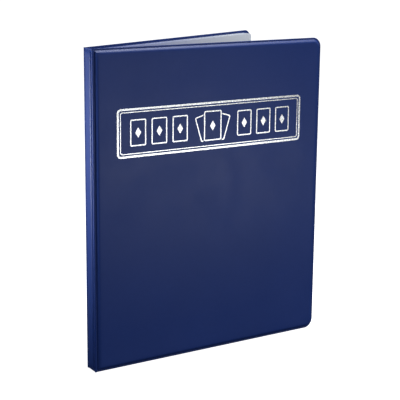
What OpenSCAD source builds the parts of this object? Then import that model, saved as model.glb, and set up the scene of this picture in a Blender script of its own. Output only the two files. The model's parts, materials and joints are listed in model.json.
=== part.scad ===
// Nine-pocket collector's album for trading cards.
// Boards sealed between vinyl skins form a spine and two covers. Ten pocket pages hang on one welded
// bead beside the back hinge.
// Origin: foot of the spine, midway between the two hinge lines. +X points from the spine into the
// album, +Y towards the back cover, +Z up the spine.

/* [Cover] */
// Height of the covers and of the spine
cover_h = 306; // [290:1:330]
// Width of each cover, from its hinge line to the fore edge
cover_w = 252.5; // [248:0.5:270]
// Radius of the two fore corners of a cover
corner_r = 9.5; // [6:0.5:16]
// Angle of the front cover from closed
front_open = 3; // [1:0.5:20]
// Angle of the back cover from closed
back_open = 17.5; // [14:0.5:60]

/* [Spine] */
// Distance between the front and the back hinge lines
spine_w = 14.5; // [13.5:0.5:24]
// Height of the spine's outer face above the weld plane
spine_t = 1.5; // [1.4:0.05:2]
// Width of the flat weld beside each long edge of the spine
spine_flange = 1.4; // [1:0.1:2.4]
// Width of the bevel beside each long edge of the spine
spine_bevel = 1.1; // [1:0.1:1.6]

/* [Panel build] */
// Thickness of the inner lining film
lining_t = 0.35; // [0.2:0.05:0.4]
// Thickness of the outer vinyl skin
skin_t = 0.4; // [0.3:0.05:0.45]
// Height of a cover's outer face above the weld plane
panel_t = 2.55; // [2.4:0.05:3]
// Width of the flat weld around a cover
flange_w = 1.8; // [1:0.1:3]
// Width of the bevel between the weld and the raised panel
bevel_w = 2.7; // [2:0.1:4]
// Width of the flat weld beside a cover's hinge edge
hinge_flange = 0.8; // [0.6:0.1:1.2]
// Bare strip left on each side of a hinge line
hinge_gap = 0.6; // [0.5:0.1:0.8]

/* [Pages] */
// Number of pocket pages
page_count = 10; // [4:1:10]
// Distance from one page to the next
page_pitch = 0.9; // [0.8:0.05:1.1]
// Height of a page
page_h = 301; // [290:1:302]
// Distance from the binding bead to a page's fore edge
page_w = 233; // [228:0.5:234]
// Thickness of the page film and of the pocket film
film_t = 0.15; // [0.1:0.05:0.15]
// Depth of a pocket, from film to film
pocket_gap = 0.2; // [0.15:0.05:0.2]
// Inside width of a pocket, for a card 63.5 wide
pocket_w = 67; // [66:0.5:68]
// Inside height of a pocket, for a card 88.9 tall
pocket_h = 92; // [90:0.5:93]
// Width of the weld line between two pockets
seam_w = 2.5; // [1.5:0.5:3]

/* [Binding] */
// Distance of the binding bead from the back hinge line, along the cover
bead_along = 8; // [8:0.5:10]
// Radius of the binding bead
bead_r = 2.4; // [2:0.1:2.4]
// Radius around the bead at which a page bends to lie flat
bend_r = 8; // [8:0.5:9]
// Thickness of the page film at the bead
root_t = 0.2; // [0.1:0.05:0.2]
// Width of the tab's foot on the back cover
tab_foot_w = 9; // [6:0.5:10]

/* [Foil stamp] */
// Width of the stamped frame
foil_w = 205; // [190:1:210]
// Height of the stamped frame
foil_h = 46; // [40:0.5:50]
// Height of the middle of the stamp above the foot of the cover
foil_z = 227; // [60:1:260]
// Distance of the middle of the stamp from the front hinge line
foil_u = 125; // [115:0.5:128]
// Width of the frame's heavy line
foil_line = 1.8; // [1:0.1:2]
// Width of the frame's fine line
foil_fine = 0.8; // [0.5:0.1:1]
// Width of the outline of a card
card_line = 1.1; // [0.6:0.1:1.5]

/* [Hidden] */
// Every node that belongs to a page repeats for each page, page 1 next to the front cover
function page_node(i, piece) = str("page_", i < 10 ? "0" : "", i, "_", piece);

$fn = 64;
// Overlap that makes two shapes of one solid meet
mend = 0.05;
// Thickness of the slices that a hull joins
slice = 0.02;
// Facets of a round corner inside a hull
hull_fn = 32;

// The skin's inner face lies this far further in than its outer face, at the foot and at the top
cavity_inset = 0.15;
cavity_t = panel_t - skin_t;
spine_cavity_t = spine_t - skin_t;
// Clear space around a board in its cavity
board_clear = 0.35;
board_lift = 0.05;
board_t = cavity_t - 2 * board_lift;
spine_board_t = spine_cavity_t - 2 * board_lift;
spine_half = spine_w / 2 - hinge_gap;

row_pitch = pocket_h + 2 * seam_w;
column_pitch = pocket_w + seam_w;
rows = 3;
columns = 3;
pockets_w = columns * column_pitch + seam_w;
page_foot = (cover_h - page_h) / 2;
// Space between the outermost weld and the page's fore edge
page_margin = 1.5;
pockets_foot = (page_h - rows * row_pitch) / 2;

tab_foot_t = 0.4;
tab_web_t = 0.8;
// Clear space between the bead and a page's root, and between the last page and the tab's foot
bead_clear = 0.3;
root_r = bead_r + bead_clear;
page_clear = 0.25;
// The bead and its tab stop this far inside the ends of the pages
bead_inset = 2;

foil_t = 0.05;
foil_corner = 4;
foil_frame_step = 3.2;
card_w = 16.5;
card_h = 25;
card_corner = 1.6;
card_step = 22.3;
first_card = 36;
side_cards = 3;
fan_card_w = 19.5;
fan_card_h = 29;
fan_angle = 17;
fan_shift = 8.5;
fan_drop = 1;
fan_gap = 0.9;
lozenge_w = 6;
lozenge_h = 9.5;

// Height of a page's back face above the bead's axis, page 1 nearest the front cover
function page_offset(i) = ((page_count + 1) / 2 - i) * page_pitch;
// Height of the bead's axis above the back cover's weld plane
bead_above = lining_t + tab_foot_t + page_clear + film_t + page_offset(1);

// ---- Placing: each panel is drawn with X from its hinge line, Y outwards and Z up ----

module on_spine() {
    rotate([0, 0, 90])
        children();
}

module on_front() {
    translate([0, -spine_w / 2, 0])
        rotate([0, 0, -front_open])
            mirror([0, 1, 0])
                children();
}

module on_back() {
    translate([0, spine_w / 2, 0])
        rotate([0, 0, back_open])
            children();
}

// A page is drawn with X from the bead's axis, Y towards the front cover and Z up
module on_page() {
    on_back()
        translate([bead_along, -bead_above, page_foot])
            mirror([0, 1, 0])
                children();
}

// Stands a flat outline up: its X stays X, its Y becomes Z, and it gains a thickness along Y
module upright(y, thickness) {
    translate([0, y, 0])
        mirror([0, 1, 0])
            rotate([90, 0, 0])
                linear_extrude(thickness)
                    children();
}

// ---- Flat outlines ----

module rounded_rect(w, h, r) {
    square([w - 2 * r, h], center = true);
    square([w, h - 2 * r], center = true);
    for (x = [-1, 1])
        for (y = [-1, 1])
            translate([x * (w / 2 - r), y * (h / 2 - r)])
                circle(r);
}

module rounded_ring(w, h, r, line) {
    difference() {
        rounded_rect(w, h, r);
        rounded_rect(w - 2 * line, h - 2 * line, max(r - line, line / 4));
    }
}

module lozenge(w, h) {
    polygon([[-w / 2, 0], [0, -h / 2], [w / 2, 0], [0, h / 2]]);
}

// A cover's outline, stepped in from the hinge line and from its three free edges
module cover_outline(hinge_inset, edge_inset) {
    r = max(corner_r - edge_inset, 1);
    left = hinge_gap + hinge_inset;
    right = cover_w - edge_inset;
    foot = edge_inset;
    top = cover_h - edge_inset;
    translate([left, foot])
        square([right - r - left, top - foot]);
    translate([right - r - mend, foot + r])
        square([r + mend, top - foot - 2 * r]);
    for (z = [foot + r, top - r])
        translate([right - r, z])
            circle(r);
}

// The spine's outline, stepped in from its long edges and from its ends
module spine_outline(side_inset, end_inset) {
    half = spine_half - side_inset;
    translate([-half, end_inset])
        square([2 * half, cover_h - 2 * end_inset]);
}

// ---- Panels: a lining and an outer skin welded at the rim, with a board sealed between them ----

module cover_frustum(hinge_in, edge_in, y0, y1) {
    hull() {
        upright(y0, slice)
            cover_outline(hinge_in, edge_in, $fn = hull_fn);
        upright(y1 - slice, slice)
            cover_outline(hinge_in + bevel_w, edge_in + bevel_w, $fn = hull_fn);
    }
}

module cover_skin() {
    difference() {
        union() {
            upright(0, skin_t)
                cover_outline(0, 0);
            cover_frustum(hinge_flange, flange_w, skin_t - slice, panel_t);
        }
        cover_frustum(hinge_flange + cavity_inset, flange_w + cavity_inset, -slice, cavity_t);
    }
}

module cover_lining() {
    upright(-lining_t, lining_t)
        cover_outline(0, 0);
}

module cover_board() {
    upright(board_lift, board_t)
        cover_outline(hinge_flange + bevel_w + board_clear, flange_w + bevel_w + board_clear);
}

module spine_frustum(inset, y0, y1) {
    hull() {
        upright(y0, slice)
            spine_outline(spine_flange + inset, flange_w + inset);
        upright(y1 - slice, slice)
            spine_outline(spine_flange + inset + spine_bevel, flange_w + inset + bevel_w);
    }
}

module spine_outer_skin() {
    color("midnightblue")
        on_spine()
            difference() {
                union() {
                    upright(0, skin_t)
                        spine_outline(0, 0);
                    spine_frustum(0, skin_t - slice, spine_t);
                }
                spine_frustum(cavity_inset, -slice, spine_cavity_t);
            }
}

module spine_inner_lining() {
    color("navy")
        on_spine()
            upright(-lining_t, lining_t)
                spine_outline(0, 0);
}

module spine_board() {
    color("tan")
        on_spine()
            upright(board_lift, spine_board_t)
                spine_outline(spine_flange + spine_bevel + board_clear, flange_w + bevel_w + board_clear);
}

module front_outer_skin() {
    color("midnightblue")
        on_front()
            cover_skin();
}

module front_inner_lining() {
    color("navy")
        on_front()
            cover_lining();
}

module front_board() {
    color("tan")
        on_front()
            cover_board();
}

module back_outer_skin() {
    color("midnightblue")
        on_back()
            cover_skin();
}

module back_inner_lining() {
    color("navy")
        on_back()
            cover_lining();
}

module back_board() {
    color("tan")
        on_back()
            cover_board();
}

// ---- Foil stamp on the front cover: a double frame, a fan of blank cards and a row on each side ----

module on_stamp() {
    on_front()
        upright(panel_t, foil_t)
            translate([foil_u, foil_z])
                children();
}

module foil_frame() {
    color("silver")
        on_stamp() {
            rounded_ring(foil_w, foil_h, foil_corner, foil_line);
            rounded_ring(
                foil_w - 2 * foil_frame_step,
                foil_h - 2 * foil_frame_step,
                foil_corner - foil_frame_step / 2,
                foil_fine
            );
        }
}

module blank_card(w, h) {
    rounded_ring(w, h, card_corner, card_line);
    lozenge(lozenge_w, lozenge_h);
}

module foil_card_row() {
    color("silver")
        on_stamp()
            for (side = [-1, 1])
                for (i = [0:side_cards - 1])
                    translate([side * (first_card + i * card_step), 0])
                        blank_card(card_w, card_h);
}

// The middle card covers the two cards that lean out behind it
module foil_card_fan() {
    color("silver")
        on_stamp() {
            blank_card(fan_card_w, fan_card_h);
            difference() {
                for (side = [-1, 1])
                    translate([side * fan_shift, -fan_drop])
                        rotate(-side * fan_angle)
                            rounded_ring(card_w, card_h, card_corner, card_line);
                rounded_rect(fan_card_w + 2 * fan_gap, fan_card_h + 2 * fan_gap, card_corner + fan_gap);
            }
        }
}

// ---- Binding: the bead that every page hangs on, and the tab that holds it to the back cover ----

module page_weld_bead() {
    color("lightsteelblue")
        on_page()
            translate([0, 0, bead_inset])
                cylinder(h = page_h - 2 * bead_inset, r = bead_r);
}

module page_binding_tab() {
    foot_y = -(bead_above - lining_t);
    color("lightsteelblue")
        on_page()
            translate([0, 0, bead_inset])
                linear_extrude(page_h - 2 * bead_inset)
                    difference() {
                        union() {
                            translate([-tab_foot_w / 2, foot_y])
                                square([tab_foot_w, tab_foot_t]);
                            translate([-tab_web_t / 2, foot_y])
                                square([tab_web_t, -foot_y]);
                        }
                        circle(bead_r);
                    }
}

// ---- Pages: a film that fans out of the bead, with three welded strips of three pockets ----

module page_sheet(i) {
    y = page_offset(i);
    bend = asin(y / bend_r);
    flat_x = bend_r * cos(bend);
    color("lavender")
        on_page()
            linear_extrude(page_h) {
                rotate(bend)
                    translate([root_r, -root_t / 2])
                        square([bend_r - root_r, root_t]);
                translate([flat_x - root_t / 2, y - film_t])
                    square([page_w - flat_x + root_t / 2, film_t]);
            }
}

module pocket_strip() {
    difference() {
        cube([pockets_w, pocket_gap + film_t, row_pitch - seam_w]);
        for (c = [0:columns - 1])
            translate([seam_w + c * column_pitch, -mend, seam_w])
                cube([pocket_w, pocket_gap + mend, row_pitch]);
    }
}

module page_pockets(i) {
    color("aliceblue")
        on_page()
            for (r = [0:rows - 1])
                translate([
                    page_w - page_margin - pockets_w,
                    page_offset(i),
                    pockets_foot + r * row_pitch
                ])
                    pocket_strip();
}

spine_outer_skin();
spine_inner_lining();
spine_board();
front_outer_skin();
front_inner_lining();
front_board();
foil_frame();
foil_card_row();
foil_card_fan();
back_outer_skin();
back_inner_lining();
back_board();
page_binding_tab();
page_weld_bead();
for (i = [1:page_count]) {
    page_sheet(i);
    page_pockets(i);
}
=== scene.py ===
import json
import math

import bmesh
import bpy
import numpy as np
from mathutils import Matrix, Vector

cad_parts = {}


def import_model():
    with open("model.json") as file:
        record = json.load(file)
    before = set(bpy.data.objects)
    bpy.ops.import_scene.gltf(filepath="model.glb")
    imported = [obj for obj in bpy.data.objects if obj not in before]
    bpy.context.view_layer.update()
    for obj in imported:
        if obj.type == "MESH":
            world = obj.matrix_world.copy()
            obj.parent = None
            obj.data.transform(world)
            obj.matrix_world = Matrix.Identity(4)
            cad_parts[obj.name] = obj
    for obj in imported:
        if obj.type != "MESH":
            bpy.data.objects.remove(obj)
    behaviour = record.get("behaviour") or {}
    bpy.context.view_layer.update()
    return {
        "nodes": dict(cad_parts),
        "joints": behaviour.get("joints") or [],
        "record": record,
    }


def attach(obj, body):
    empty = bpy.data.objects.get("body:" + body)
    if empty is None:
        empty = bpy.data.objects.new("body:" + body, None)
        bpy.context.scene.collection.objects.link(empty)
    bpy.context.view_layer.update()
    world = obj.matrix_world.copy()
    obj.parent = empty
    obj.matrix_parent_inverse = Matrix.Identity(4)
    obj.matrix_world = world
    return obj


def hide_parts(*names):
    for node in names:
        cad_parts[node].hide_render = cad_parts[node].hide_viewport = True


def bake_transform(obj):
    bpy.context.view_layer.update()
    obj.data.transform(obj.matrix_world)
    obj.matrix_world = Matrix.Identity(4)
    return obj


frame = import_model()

MM = 0.001
JOINTS = {j["name"]: j for j in frame["joints"]}
BODIES = frame["record"]["behaviour"]["bodies"]
PAGES = sorted(body for body in BODIES if body.startswith("page_"))


# ---------------------------------------------------------------- places, read from the frame


def panel_matrix(origin, along, outward):
    """Maps a panel's own (along, outward, up) coordinates to the row frame."""
    columns = (Vector(along), Vector(outward), Vector((0, 0, 1)), Vector(origin))
    matrix = Matrix.Identity(4)
    for c, column in enumerate(columns):
        for r in range(3):
            matrix[r][c] = column[r]
    return matrix


def cover_matrix(joint, side):
    """side is 1 for the cover that opens towards +Y and -1 for the other."""
    x, y, _ = joint["pos_m"]
    opened = math.radians(-joint["range_deg"][0])
    along = (math.cos(opened), side * math.sin(opened), 0)
    outward = (-math.sin(opened), side * math.cos(opened), 0)
    return panel_matrix((x, y, 0), along, outward)


FRONT_HINGE = JOINTS["front_cover_hinge"]
BACK_HINGE = JOINTS["back_cover_hinge"]
FRONT = cover_matrix(FRONT_HINGE, -1)
BACK = cover_matrix(BACK_HINGE, 1)
SPINE = panel_matrix((0, 0, 0), (0, 1, 0), (-1, 0, 0))
BEAD_AT = JOINTS[PAGES[0] + "_turn"]["pos_m"]
PAGE = panel_matrix((BEAD_AT[0], BEAD_AT[1], 0), BACK.col[0].xyz, -BACK.col[1].xyz)


def in_panel(node, matrix):
    """A CAD node's vertices in a panel's own coordinates, in metres."""
    inverse = matrix.inverted()
    return np.array([inverse @ v.co for v in frame["nodes"][node].data.vertices])


def span(points, axis):
    return float(points[:, axis].min()), float(points[:, axis].max())


# ---------------------------------------------------------------- mesh helpers


def finish_mesh(name, bm, matrix, materials, sharp=35):
    """Makes an object of bm, whose vertices are in a panel's own coordinates."""
    bmesh.ops.remove_doubles(bm, verts=bm.verts, dist=2e-6)
    bm.transform(matrix)
    bmesh.ops.recalc_face_normals(bm, faces=bm.faces)
    for face in bm.faces:
        face.smooth = True
    for edge in bm.edges:
        if len(edge.link_faces) == 2 and edge.calc_face_angle() > math.radians(sharp):
            edge.smooth = False
    mesh = bpy.data.meshes.new(name)
    bm.to_mesh(mesh)
    bm.free()
    piece = bpy.data.objects.new(name, mesh)
    bpy.context.scene.collection.objects.link(piece)
    for material in materials:
        mesh.materials.append(material)
    return piece


def settle(piece, body, slot, *nodes):
    """Rides on a body and stands for CAD nodes, which it hides. The slot argument is not used."""
    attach(piece, body)
    if nodes:
        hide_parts(*nodes)


def slab(bm, upper, lower, band=None):
    """A closed solid between two grids of points of one size. band(i, j) gives a face's material."""
    rows, columns = len(upper), len(upper[0])
    top = [[bm.verts.new(p) for p in row] for row in upper]
    low = [[bm.verts.new(p) for p in row] for row in lower]
    for i in range(rows - 1):
        for j in range(columns - 1):
            index = band(i, j) if band else 0
            for grid in (top, low):
                face = bm.faces.new(
                    (grid[i][j], grid[i][j + 1], grid[i + 1][j + 1], grid[i + 1][j])
                )
                face.material_index = index
    border = [(0, j) for j in range(columns)]
    border += [(i, columns - 1) for i in range(1, rows)]
    border += [(rows - 1, j) for j in range(columns - 2, -1, -1)]
    border += [(i, 0) for i in range(rows - 2, 0, -1)]
    for (i, j), (k, m) in zip(border, border[1:] + border[:1]):
        bm.faces.new((top[i][j], top[k][m], low[k][m], low[i][j]))


# ---------------------------------------------------------------- materials


class Nodes:
    """A short way to write a node material."""

    def __init__(self, name):
        self.material = bpy.data.materials.new(name)
        self.material.use_nodes = True
        self.tree = self.material.node_tree
        self.shader = self.tree.nodes["Principled BSDF"]
        self.place = self.add("ShaderNodeTexCoord").outputs["Object"]

    def add(self, kind, **settings):
        node = self.tree.nodes.new(kind)
        for key, value in settings.items():
            setattr(node, key, value)
        return node

    def link(self, output, node, socket):
        self.tree.links.new(output, node.inputs[socket])

    def set(self, **values):
        for key, value in values.items():
            self.shader.inputs[key.replace("_", " ")].default_value = value

    def noise(self, scale, detail=3.0, roughness=0.55, stretch=None):
        node = self.add("ShaderNodeTexNoise")
        node.inputs["Scale"].default_value = scale
        node.inputs["Detail"].default_value = detail
        node.inputs["Roughness"].default_value = roughness
        source = self.place
        if stretch:
            mapping = self.add("ShaderNodeMapping")
            mapping.inputs["Scale"].default_value = stretch
            self.link(source, mapping, "Vector")
            source = mapping.outputs["Vector"]
        self.link(source, node, "Vector")
        return node.outputs["Fac"]

    def cells(self, scale):
        node = self.add("ShaderNodeTexVoronoi", feature="SMOOTH_F1")
        node.inputs["Scale"].default_value = scale
        node.inputs["Smoothness"].default_value = 0.6
        self.link(self.place, node, "Vector")
        return node.outputs["Distance"]

    def spread(self, value, low, high, start=0.3, end=0.7):
        """value, which runs from start to end, as a number from low to high."""
        node = self.add("ShaderNodeMapRange")
        for key, number in zip(("From Min", "From Max", "To Min", "To Max"), (start, end, low, high)):
            node.inputs[key].default_value = number
        self.link(value, node, "Value")
        return node.outputs["Result"]

    def colours(self, value, low, high):
        node = self.add("ShaderNodeMix", data_type="RGBA")
        node.inputs["A"].default_value = (*low, 1)
        node.inputs["B"].default_value = (*high, 1)
        self.link(value, node, "Factor")
        return node.outputs["Result"]

    def math(self, operation, a, b):
        node = self.add("ShaderNodeMath", operation=operation)
        for socket, value in ((0, a), (1, b)):
            if isinstance(value, (int, float)):
                node.inputs[socket].default_value = value
            else:
                self.link(value, node, socket)
        return node.outputs["Value"]

    def bump(self, height, strength, distance, normal=None):
        node = self.add("ShaderNodeBump")
        node.inputs["Strength"].default_value = strength
        node.inputs["Distance"].default_value = distance
        self.link(height, node, "Height")
        if normal:
            self.link(normal, node, "Normal")
        return node.outputs["Normal"]

    def base(self, colour=None, roughness=None, normal=None):
        for output, socket in ((colour, "Base Color"), (roughness, "Roughness"), (normal, "Normal")):
            if output:
                self.link(output, self.shader, socket)
        return self.material


def vinyl(name, low, high, rough_low, rough_high, grain):
    m = Nodes(name)
    tone = m.spread(m.noise(14, 4), 0, 1)
    mottle = m.spread(m.noise(260, 3), 0, 1)
    mixed = m.math("ADD", m.math("MULTIPLY", tone, 0.7), m.math("MULTIPLY", mottle, 0.3))
    rough = m.spread(m.noise(38, 5), rough_low, rough_high)
    pebble = m.bump(m.cells(1500), grain, 0.00012)
    grained = m.bump(m.noise(3200, 2), grain * 0.5, 0.00005, pebble)
    m.set(Specular_IOR_Level=0.3)
    return m.base(m.colours(mixed, low, high), rough, grained)


def film(name, low, high, alpha, roughness, grain=0.15, painted_shade=None):
    """The colour given for near the binding is painted shadow and painted navy reflection: the film is
    darkened and tinted where it lies between the navy covers.
    """
    m = Nodes(name)
    cloud = m.spread(m.noise(22, 4), 0, 1)
    rough = m.spread(m.noise(90, 3), roughness * 0.8, roughness * 1.3)
    streaks = m.bump(m.noise(60, 3, stretch=(1, 1, 0.12)), grain, 0.0003)
    m.set(Alpha=alpha, Specular_IOR_Level=0.5)
    colour = m.colours(cloud, low, high)
    if painted_shade:
        # Painted shadow and painted navy reflection: from 0.02 m to 0.2 m along X the film's colour fades in
        # from the darker blue given for near the binding.
        away = m.add("ShaderNodeSeparateXYZ")
        m.link(m.place, away, "Vector")
        painted_shadow_mix = m.add("ShaderNodeMix", data_type="RGBA")
        painted_shadow_mix.inputs["A"].default_value = (*painted_shade, 1)
        m.link(colour, painted_shadow_mix, "B")
        m.link(m.spread(away.outputs["X"], 0, 1, 0.02, 0.2), painted_shadow_mix, "Factor")
        colour = painted_shadow_mix.outputs["Result"]
    return m.base(colour, rough, streaks)


def weld_seam():
    """The pressed, whitened line where two films are melted together."""
    m = Nodes("welded_film_seam")
    cloud = m.spread(m.noise(150, 4), 0, 1)
    press = m.bump(m.cells(900), 0.6, 0.0002)
    m.set(Alpha=0.8)
    rough = m.spread(m.noise(400, 2), 0.3, 0.55)
    return m.base(m.colours(cloud, (0.62, 0.66, 0.74), (0.78, 0.81, 0.87)), rough, press)


def foil():
    m = Nodes("stamped_silver_foil")
    wear = m.spread(m.noise(420, 5), 0, 1, 0.25, 0.6)
    colour = m.colours(wear, (0.84, 0.85, 0.84), (0.97, 0.98, 0.98))
    rough = m.spread(m.noise(700, 3), 0.2, 0.34)
    m.set(Metallic=0.55)
    return m.base(colour, rough, m.bump(m.cells(1500), 0.2, 0.00008))


def greyboard():
    m = Nodes("greyboard")
    fibre = m.spread(m.noise(900, 6, 0.7), 0, 1)
    colour = m.colours(fibre, (0.3, 0.27, 0.23), (0.46, 0.42, 0.36))
    return m.base(colour, m.spread(fibre, 0.8, 0.95, 0, 1), m.bump(fibre, 0.5, 0.0003))


COVER_VINYL = vinyl("navy_cover_vinyl", (0.012, 0.037, 0.19), (0.0155, 0.043, 0.215), 0.37, 0.45, 0.08)
LINING_VINYL = vinyl("navy_lining_vinyl", (0.010, 0.032, 0.165), (0.013, 0.037, 0.19), 0.46, 0.58, 0.2)
# Painted shadow and painted navy reflection for the page film near the binding.
PAGE_PAINTED_SHADE = (0.3, 0.35, 0.68)
PAGE_FILM = film("milky_page_film", (0.86, 0.91, 1.0), (0.94, 0.97, 1.0), 0.85, 0.3, painted_shade=PAGE_PAINTED_SHADE)
POCKET_FILM = film("clear_pocket_film", (0.66, 0.7, 0.78), (0.76, 0.79, 0.85), 0.3, 0.14)
SEAM_FILM = weld_seam()
BINDING_FILM = film("binding_film", (0.42, 0.46, 0.6), (0.56, 0.6, 0.72), 0.85, 0.35)
FOIL = foil()
GREYBOARD = greyboard()


# ---------------------------------------------------------------- panels: skin and lining

# Steps in from the rim and heights above the weld plane, in mm, of the outer skin, for a panel
# whose bevel starts at FLANGE and ends at the top inset that the CAD node gives.
FLANGE_EDGE = 1.8
FLANGE_HINGE = 0.8
FLANGE_SPINE = 1.4
SKIN = 0.4
CAP_INSET = 12.0
CAP_INSET_SPINE = 3.4


class Panel:
    """A welded panel: its outline, read from the CAD skin, and how its rings are spaced."""

    def __init__(self, skin, lining, matrix, two_hinges, corner, counts):
        points = in_panel(skin, matrix)
        self.matrix, self.two_hinges, self.corner = matrix, two_hinges, corner
        self.left, self.right = span(points, 0)
        self.foot, self.top = span(points, 2)
        self.height = span(points, 1)[1]
        self.lining = span(in_panel(lining, matrix), 1)[0]
        raised = points[points[:, 1] > self.height - 1e-5]
        self.edge_top = self.top - raised[:, 2].max()
        self.hinge_top = raised[:, 0].min() - self.left
        self.along, self.up, self.arc = counts
        flange, cap = (FLANGE_SPINE, CAP_INSET_SPINE) if two_hinges else (FLANGE_HINGE, CAP_INSET)
        self.edge_steps = np.array([0, FLANGE_EDGE * MM, self.edge_top, CAP_INSET * MM])
        self.hinge_steps = np.array([0, flange * MM, self.hinge_top, cap * MM])

    def ring(self, inset, height):
        """The outline stepped in by inset at its free edges, and by the matching step at its hinges."""
        a = float(np.interp(inset, self.edge_steps, self.hinge_steps))
        left, foot, top = self.left + a, self.foot + inset, self.top - inset
        right = self.right - (a if self.two_hinges else inset)
        r = max(self.corner - inset, 0) if self.corner else 0
        u = np.linspace(left, right - r, self.along + 1)
        z = np.linspace(foot + r, top - r, self.up + 1)
        turns = [math.pi / 2 * k / self.arc for k in range(1, self.arc)]
        points = [(x, foot) for x in u]
        points += [(right - r + r * math.sin(t), foot + r - r * math.cos(t)) for t in turns]
        points += [(right, y) for y in z]
        points += [(right - r + r * math.cos(t), top - r + r * math.sin(t)) for t in turns]
        points += [(x, top) for x in u[::-1]]
        points += [(left, y) for y in np.linspace(top, foot, self.up + 1)[1:-1]]
        return [(x, height, y) for x, y in points]

    def shell(self, bm, profile, relief=None):
        """Rings joined one after another, with a grid over the first and over the last."""
        rings = []
        for inset, height in profile:
            rings.append([bm.verts.new(p) for p in self.ring(inset * MM, height)])
        for one, two in zip(rings, rings[1:]):
            for k in range(len(one)):
                n = (k + 1) % len(one)
                bm.faces.new((one[k], one[n], two[n], two[k]))
        self.cap(bm, rings[0], profile[0][1])
        self.cap(bm, rings[-1], profile[-1][1])
        if relief:
            for v in bm.verts:
                v.co.y -= relief(v.co.x, v.co.y, v.co.z)

    def cap(self, bm, ring, height):
        side, turn = self.along + 1, self.arc - 1
        foot = ring[:side]
        fore = ring[side + turn : side + turn + self.up + 1]
        head = ring[side + 2 * turn + self.up + 1 :][:side][::-1]
        hinge = [foot[0]] + ring[-(self.up - 1) :][::-1] + [head[0]]
        grid = [foot]
        for j in range(1, self.up):
            row = [hinge[j]]
            for i in range(1, self.along):
                row.append(bm.verts.new((foot[i].co.x, height, hinge[j].co.z)))
            grid.append(row + [fore[j]])
        grid.append(head)
        for j in range(self.up):
            for i in range(self.along):
                bm.faces.new((grid[j][i], grid[j][i + 1], grid[j + 1][i + 1], grid[j + 1][i]))


def skin_profile(height, rounded):
    """Insets in mm and heights in m: raised face, soft shoulder, bevel, weld line, rim, cavity."""
    shoulder = [(8.0, 1.0), (5.6, 0.998), (4.9, 0.982), (4.4, 0.94), (3.9, 0.864), (3.4, 0.745)]
    if rounded:
        shoulder = [(10.5, 0.992), (8.4, 0.965), (6.5, 0.925), (5.1, 0.88), (4.4, 0.83), (3.6, 0.7)]
    foot = [(2.95, 0.56), (2.55, 0.39), (2.25, 0.235), (2.02, 0.098), (1.86, 0.01)]
    raised = [(CAP_INSET, 1.0)] + shoulder + foot
    rim = [
        (1.7, 0.7), (1.5, 0.68), (1.35, 0.95), (1.15, 1.0), (0.8, 1.0), (0.5, 0.98), (0.3, 0.91),
        (0.14, 0.76), (0.04, 0.54), (0.0, 0.3), (0.0, 0.08), (0.03, 0.0),
    ]
    cavity = [(1.9, 0.0), (1.95, 0.005), (4.5, 0.967), (4.7, 1.0), (CAP_INSET, 1.0)]
    above = height - SKIN * MM
    profile = [(inset, SKIN * MM + share * above) for inset, share in raised]
    profile += [(inset, share * SKIN * MM) for inset, share in rim]
    return profile + [(inset, share * above) for inset, share in cavity]


def lining_profile(depth):
    """The inner film: flat over the board, pressed down along the weld, rounded at the rim."""
    inner = [
        (CAP_INSET, 1.0), (5.0, 1.0), (3.2, 0.99), (2.5, 0.93), (2.1, 0.72), (1.85, 0.62), (1.5, 0.62),
        (1.3, 0.8), (1.0, 0.92), (0.4, 0.9), (0.12, 0.74), (0.02, 0.5), (0.0, 0.2), (0.02, 0.0),
    ]
    return [(inset, share * depth) for inset, share in inner + [(CAP_INSET, 0.0)]]


STAMP = np.concatenate([in_panel(n, FRONT) for n in BODIES["front_cover"] if n.startswith("foil_")])
STAMP_MARGIN = 6 * MM
FADE_OVER = 20 * MM
DIP = 0.05 * MM


def undulation(panel, stamped):
    """How far the vinyl dips below the raised face: slow waves that die out at the bevel and stamp."""
    low_u, high_u = span(STAMP, 0)
    low_z, high_z = span(STAMP, 2)

    def relief(u, height, z):
        if height < panel.height * 0.97:
            return 0.0
        edge = min(z - panel.foot, panel.top - z, u - panel.left, panel.right - u)
        fade = min(max((edge - panel.edge_top) / FADE_OVER, 0), 1)
        if stamped:
            away = max(low_u - u, u - high_u, low_z - z, z - high_z)
            fade *= min(max((away - STAMP_MARGIN) / FADE_OVER, 0), 1)
        across = math.sin(u * 47 + 1.1 + 1.4 * math.sin(z * 23))
        upward = math.sin(z * 41 + 0.4 + 1.7 * math.sin(u * 19))
        return DIP * fade * (across + upward + 2)

    return relief


def make_panel(body, prefix, panel, stamped=False):
    bm = bmesh.new()
    relief = None if panel.two_hinges else undulation(panel, stamped)
    panel.shell(bm, skin_profile(panel.height, panel.two_hinges), relief)
    skin = finish_mesh(prefix + "_vinyl_skin", bm, panel.matrix, [COVER_VINYL])
    settle(skin, body, "cover_vinyl", prefix + "_outer_skin")
    bm = bmesh.new()
    panel.shell(bm, lining_profile(panel.lining))
    lining = finish_mesh(prefix + "_vinyl_lining", bm, panel.matrix, [LINING_VINYL])
    settle(lining, body, "lining_vinyl", prefix + "_inner_lining")


CORNER = 9.5 * MM
COVER_COUNTS = (48, 60, 10)
SPINE_COUNTS = (8, 60, 2)
SPINE_PANEL = Panel("spine_outer_skin", "spine_inner_lining", SPINE, True, 0, SPINE_COUNTS)
FRONT_PANEL = Panel("front_outer_skin", "front_inner_lining", FRONT, False, CORNER, COVER_COUNTS)
BACK_PANEL = Panel("back_outer_skin", "back_inner_lining", BACK, False, CORNER, COVER_COUNTS)
make_panel("spine", "spine", SPINE_PANEL)
make_panel("front_cover", "front", FRONT_PANEL, stamped=True)
make_panel("back_cover", "back", BACK_PANEL)


# ---------------------------------------------------------------- hinge films

HINGE_OVERLAP = 0.3 * MM
HINGE_STEPS = 12
HINGE_LEVELS = 25
FOLD_R = 1.0 * MM


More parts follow.
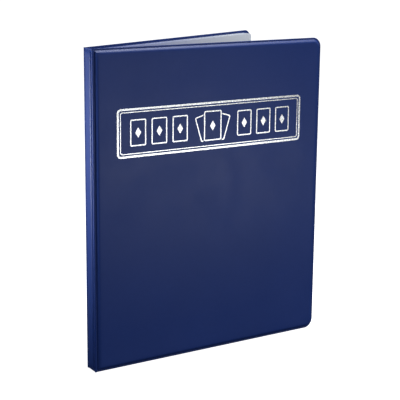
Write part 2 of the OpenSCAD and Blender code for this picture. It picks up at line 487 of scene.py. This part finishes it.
def hinge_film(name, joint, cover, side):
    """The welded strip, folded round the hinge between the spine and a cover as one fixed mesh. side is the
    cover's side of Y.
    """
    x, y, _ = joint["pos_m"]
    pivot = Vector((x, y, 0))
    bare = FRONT_PANEL.left
    outer = (SKIN + 0.01) * MM
    inner = -FRONT_PANEL.lining * 0.9 + 0.01 * MM
    spine_along, spine_out = Vector((0, -side, 0)), Vector((-1, 0, 0))
    cover_along, cover_out = cover.matrix.col[0].xyz, cover.matrix.col[1].xyz
    reach = bare + HINGE_OVERLAP
    rise = [(reach, outer), (bare, outer * 1.1), (bare * 0.8, outer * 1.5), (bare * 0.5, FOLD_R * 0.86)]
    outside = [pivot + spine_along * d + spine_out * h for d, h in rise]
    for k in range(HINGE_STEPS + 1):
        way = spine_out.slerp(cover_out, k / HINGE_STEPS)
        outside.append(pivot + way * FOLD_R)
    outside += [pivot + cover_along * d + cover_out * h for d, h in rise[::-1]]
    corner = pivot + (spine_along + cover_along) * inner
    sides = ((spine_along, spine_out), (cover_along, cover_out))
    start, end = (pivot + along * reach - out * inner for along, out in sides)
    inside = []
    for k in range(len(outside)):
        t = k / (len(outside) - 1)
        one, two = start.lerp(corner, t), corner.lerp(end, t)
        inside.append(one.lerp(two, t))
    levels = np.linspace(FRONT_PANEL.foot, FRONT_PANEL.top, HINGE_LEVELS)
    bm = bmesh.new()
    slab(
        bm,
        [[p + Vector((0, 0, z)) for p in outside] for z in levels],
        [[p + Vector((0, 0, z)) for p in inside] for z in levels],
    )
    piece = finish_mesh(name, bm, Matrix.Identity(4), [COVER_VINYL])
    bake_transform(piece)


hinge_film("front_hinge_film", FRONT_HINGE, FRONT_PANEL, -1)
hinge_film("back_hinge_film", BACK_HINGE, BACK_PANEL, 1)


# ---------------------------------------------------------------- pages

FILM = 0.15 * MM
ROWS = 3
COLUMNS = 3
SEAM = 2.5 * MM
PAGE_CORNER = 3.5 * MM
BEAD = in_panel("page_weld_bead", PAGE)
BEAD_R = span(BEAD, 0)[1]
BEND_R = 8 * MM
FLAT_FROM = 50 * MM
SHARED_LIFT = 0.5 * MM
OWN_LIFT = 0.18 * MM


def smooth(t):
    t = min(max(t, 0), 1)
    return t * t * (3 - 2 * t)


def wave(index, p, z):
    """How far a page stands off its flat place: nothing at the binding, most at the fore edge."""
    lift = (len(PAGES) - 1 - index) / (len(PAGES) - 1)
    out = smooth((p - 0.02) / 0.2)
    shared = 0.5 + 0.5 * math.sin(z * 21 + 0.9 + p * 6)
    own = 0.5 + 0.5 * math.sin(z * 33 + index * 1.9 + p * 11)
    return (SHARED_LIFT * shared + OWN_LIFT * own) * lift * out


def root_path(offset):
    """Centre line of the film from inside the bead to the flat, as (along, off) points."""
    angle = math.asin(offset / BEND_R)
    radial = [BEAD_R * 0.9, BEAD_R + 0.8 * MM, BEAD_R + 2 * MM, 6.3 * MM]
    points = [Vector((r * math.cos(angle), r * math.sin(angle))) for r in radial]
    corner = Vector((BEND_R * math.cos(angle), offset))
    end = Vector((corner.x + 3 * MM, offset))
    start = points[-1]
    for k in range(1, 6):
        t = k / 6
        points.append(start.lerp(corner, t).lerp(corner.lerp(end, t), t))
    return points + [end], end.x


def page_sheet(body, index):
    points = in_panel(body + "_sheet", PAGE)
    flat = points[points[:, 0] > FLAT_FROM]
    low, high = span(flat, 1)
    foot, top = span(points, 2)
    fore = span(points, 0)[1]
    centre = (low + high) / 2
    root, begin = root_path(centre)
    spread = list(np.linspace(begin, fore, 40)[1:])
    levels = np.concatenate([
        foot + PAGE_CORNER * (1 - np.cos(np.linspace(0, math.pi / 2, 6))),
        np.linspace(foot + PAGE_CORNER, top - PAGE_CORNER, 40)[1:-1],
        top - PAGE_CORNER * (1 - np.cos(np.linspace(math.pi / 2, 0, 6))),
    ])
    upper, lower = [], []
    for z in levels:
        away = min(z - foot, top - z)
        cut = PAGE_CORNER - math.sqrt(max(PAGE_CORNER**2 - max(PAGE_CORNER - away, 0) ** 2, 0))
        line = list(root)
        for p in spread:
            x = begin + (p - begin) * (fore - cut - begin) / (fore - begin)
            line.append(Vector((x, centre)))
        rows = ([], [])
        for k, point in enumerate(line):
            ahead = line[min(k + 1, len(line) - 1)] - line[max(k - 1, 0)]
            normal = Vector((-ahead.y, ahead.x)).normalized() * (FILM / 2)
            off = wave(index, point.x, z)
            for row, sign in zip(rows, (1, -1)):
                row.append((point.x + sign * normal.x, point.y + sign * normal.y + off, z))
        upper.append(rows[0])
        lower.append(rows[1])
    bm = bmesh.new()
    slab(bm, upper, lower)
    piece = finish_mesh(body + "_film", bm, PAGE, [PAGE_FILM])
    settle(piece, body, "page_film", body + "_sheet")


def strip_lines(low, high, count, seam, open_end=False):
    """Grid lines across count pockets with a seam before each and after the last, and their bands."""
    lines, bands = [low], []
    pitch = (high - low - (0 if open_end else seam)) / count
    for c in range(count):
        start = low + c * pitch
        inside = [0, 0.02, 0.06, 0.14, 0.3, 0.5, 0.7, 0.86, 0.94, 0.98, 1]
        lines += [start + seam + (pitch - seam) * s for s in inside]
        bands += [1] + [0] * (len(inside) - 1)
    if not open_end:
        lines.append(high)
        bands.append(1)
    return lines, bands


def pocket_lift(p, z, strip):
    """How far a pocket's film stands off the page film, from 0 in a seam to 1 in the middle."""
    u = (p - strip["left"]) % strip["pitch"] - SEAM
    across = min(u, strip["pitch"] - SEAM - u) / (0.35 * strip["pitch"])
    up = (z - strip["foot"] - SEAM) / (0.3 * (strip["top"] - strip["foot"]))
    return smooth(across) ** 0.5 * smooth(up) ** 0.5


def page_pockets(body, index):
    points = in_panel(body + "_pockets", PAGE)
    left, right = span(points, 0)
    back, front = span(points, 1)
    foot, top = span(points, 2)
    height = (top - foot - (ROWS - 1) * SEAM) / ROWS
    columns, column_bands = strip_lines(left, right, COLUMNS, SEAM)
    bm = bmesh.new()
    for r in range(ROWS):
        low = foot + r * (height + SEAM)
        rows, row_bands = strip_lines(low, low + height, 1, SEAM, open_end=True)
        pitch = (right - left - SEAM) / COLUMNS
        strip = {"left": left, "pitch": pitch, "foot": low, "top": low + height}
        upper, lower = [], []
        for z in rows:
            over, under = [], []
            for p in columns:
                lift = pocket_lift(p, z, strip)
                base = back + 0.01 * MM + lift * (front - back - FILM) * 0.95 + wave(index, p, z)
                over.append((p, base + FILM * 0.8, z))
                under.append((p, base, z))
            upper.append(over)
            lower.append(under)
        slab(bm, upper, lower, lambda i, j: max(row_bands[i], column_bands[j]))
    piece = finish_mesh(body + "_pocket_film", bm, PAGE, [POCKET_FILM, SEAM_FILM])
    settle(piece, body, "pocket_film", body + "_pockets")


for number, page in enumerate(PAGES):
    page_sheet(page, number)
    page_pockets(page, number)


# ---------------------------------------------------------------- binding

CRIMP = 3.2 * MM
CRIMP_DEPTH = 0.16 * MM
CRIMP_RINGS = 6
DOME = 1.2 * MM


def weld_bead():
    """The bead, crimped at even steps by the sealing die and domed at its ends."""
    foot, top = span(BEAD, 2)
    sides = 28
    steps = int((top - foot) / CRIMP) * CRIMP_RINGS
    bm = bmesh.new()
    rings = []
    for k in range(steps + 1):
        z = foot + (top - foot) * k / steps
        r = BEAD_R - CRIMP_DEPTH * (0.5 + 0.5 * math.cos(2 * math.pi * k / CRIMP_RINGS)) ** 2
        end = min(z - foot, top - z) / DOME
        if end < 1:
            r *= 0.72 + 0.28 * math.sqrt(max(1 - (1 - end) ** 2, 0))
        turns = [2 * math.pi * s / sides for s in range(sides)]
        rings.append([bm.verts.new((r * math.cos(t), r * math.sin(t), z)) for t in turns])
    for one, two in zip(rings, rings[1:]):
        for s in range(sides):
            n = (s + 1) % sides
            bm.faces.new((one[s], one[n], two[n], two[s]))
    bm.faces.new(rings[0])
    bm.faces.new(rings[-1])
    piece = finish_mesh("binding_bead", bm, PAGE, [BINDING_FILM])
    settle(piece, "back_cover", "binding_film", "page_weld_bead")


weld_bead()


# ---------------------------------------------------------------- CAD nodes that stay


def paint(node, material):
    piece = frame["nodes"][node]
    piece.data.materials.clear()
    piece.data.materials.append(material)


for cad_node in ("spine_board", "front_board", "back_board"):
    paint(cad_node, GREYBOARD)
for cad_node in ("foil_frame", "foil_card_row", "foil_card_fan"):
    paint(cad_node, FOIL)
paint("page_binding_tab", BINDING_FILM)


# ---------------------------------------------------------------- floor, light and camera

CAMERA_AT = Vector((-0.4636, -0.8677, 0.4092))
SKY_SEEN, SKY_IN_GLOSS, SKY = 1.05, 0.25, 0.36
FLOOR_SEEN, FLOOR_IN_GLOSS, FLOOR_BOUNCE = 0.9, 0.04, 0.06
FLOOR_GLOW = 0.8
FLOOR_HALF = 12
LIGHT_COLOUR = (0.96, 0.98, 1.0)


def by_ray(tree, seen, mirrored, otherwise):
    """One number where the camera sees a surface, one where gloss mirrors it, one for the rest."""
    path = tree.nodes.new("ShaderNodeLightPath")
    value = otherwise
    for ray, number in (("Is Glossy Ray", mirrored), ("Is Camera Ray", seen)):
        node = tree.nodes.new("ShaderNodeMix")
        node.inputs["B"].default_value = number
        tree.links.new(path.outputs[ray], node.inputs["Factor"])
        if isinstance(value, (int, float)):
            node.inputs["A"].default_value = value
        else:
            tree.links.new(value, node.inputs["A"])
        value = node.outputs["Result"]
    return value


def floor():
    """Pale to the eye, and dim where it is mirrored in the vinyl, like a table behind a cut-out."""
    m = Nodes("pale_floor")
    tone = m.spread(m.noise(3, 3), 0.95, 1)
    pale = m.math("MULTIPLY", tone, by_ray(m.tree, FLOOR_SEEN, FLOOR_IN_GLOSS, FLOOR_BOUNCE))
    m.set(Specular_IOR_Level=0.0, Emission_Color=(1, 1, 1, 1))
    m.base(m.colours(pale, (0, 0, 0), (1, 1, 1)), m.spread(tone, 0.75, 0.85))
    m.link(by_ray(m.tree, FLOOR_GLOW, 0, 0), m.shader, "Emission Strength")
    size = FLOOR_HALF
    mesh = bpy.data.meshes.new("floor")
    mesh.from_pydata(
        [(-size, -size, 0), (size, -size, 0), (size, size, 0), (-size, size, 0)], [], [(0, 1, 2, 3)]
    )
    mesh.materials.append(m.material)
    piece = bpy.data.objects.new("floor", mesh)
    bpy.context.scene.collection.objects.link(piece)


def area_light(name, at, target, size, power, spread=180):
    data = bpy.data.lights.new(name, "AREA")
    data.shape = "RECTANGLE"
    data.spread = math.radians(spread)
    data.size, data.size_y = size
    data.energy = power
    data.color = LIGHT_COLOUR
    lamp = bpy.data.objects.new(name, data)
    bpy.context.scene.collection.objects.link(lamp)
    lamp.location = at
    lamp.rotation_mode = "QUATERNION"
    lamp.rotation_quaternion = (Vector(target) - Vector(at)).to_track_quat("-Z", "Y")
    lamp.visible_camera = False


def glint(name, at, normal, distance, size, power, spread=180):
    """A soft light placed where the camera sees it mirrored in the surface at a point."""
    at, normal = Vector(at), Vector(normal).normalized()
    sight = (CAMERA_AT - at).normalized()
    ray = 2 * sight.dot(normal) * normal - sight
    area_light(name, at + ray * distance, at, size, power, spread)


def world():
    made = bpy.data.worlds.new("studio")
    bpy.context.scene.world = made
    made.use_nodes = True
    background = made.node_tree.nodes["Background"]
    background.inputs["Color"].default_value = (0.97, 0.98, 1.0, 1)
    strength = by_ray(made.node_tree, SKY_SEEN, SKY_IN_GLOSS, SKY)
    made.node_tree.links.new(strength, background.inputs["Strength"])


def camera(azimuth, elevation, roll, lens, shift):
    """Azimuth 0 looks along +Y. roll turns the camera about its line of sight, in degrees."""
    a, e, r = (math.radians(v) for v in (azimuth, elevation, roll))
    back = Vector((math.sin(a) * math.cos(e), -math.cos(a) * math.cos(e), math.sin(e)))
    level = Vector((0, 0, 1)).cross(back).normalized()
    upright = back.cross(level)
    right = level * math.cos(r) + upright * math.sin(r)
    up = upright * math.cos(r) - level * math.sin(r)
    data = bpy.data.cameras.new("camera")
    data.lens = lens
    data.shift_y = shift
    piece = bpy.data.objects.new("camera", data)
    bpy.context.scene.collection.objects.link(piece)
    piece.matrix_world = Matrix((right, up, back)).transposed().to_4x4()
    piece.location = CAMERA_AT
    bpy.context.scene.camera = piece


floor()
world()
camera(-33.985, 12.008, 0.55, 98.63, -0.09)
glint("cover_glow", FRONT @ Vector((0.075, 0.0026, 0.178)), FRONT.col[1].xyz, 0.72, (0.4, 0.2), 1.25)
glint("spine_glow", SPINE @ Vector((0, 0.0015, 0.26)), SPINE.col[1].xyz, 0.8, (0.3, 0.26), 0.4)
glint("crest_glow", SPINE @ Vector((-0.006, 0.001, 0.225)), (-0.92, -0.4, 0), 0.42, (0.1, 0.12), 0.27, 60)
area_light("left_fill", SPINE @ Vector((0.2, 0.36, 0.62)), SPINE @ Vector((0, 0, 0.25)), (0.3, 0.3), 0.11, 90)
area_light("page_fill", PAGE @ Vector((0.25, 0.1, 0.8)), PAGE @ Vector((0.2, 0, 0.29)), (0.3, 0.2), 2.0)
top_bevel = FRONT.col[1].xyz * 0.78 + Vector((0, 0, 0.62))
glint("top_soft", FRONT @ Vector((0.12, 0.0015, 0.303)), top_bevel, 1.3, (0.9, 0.7), 10)
bpy.context.scene.view_settings.view_transform = "Standard"
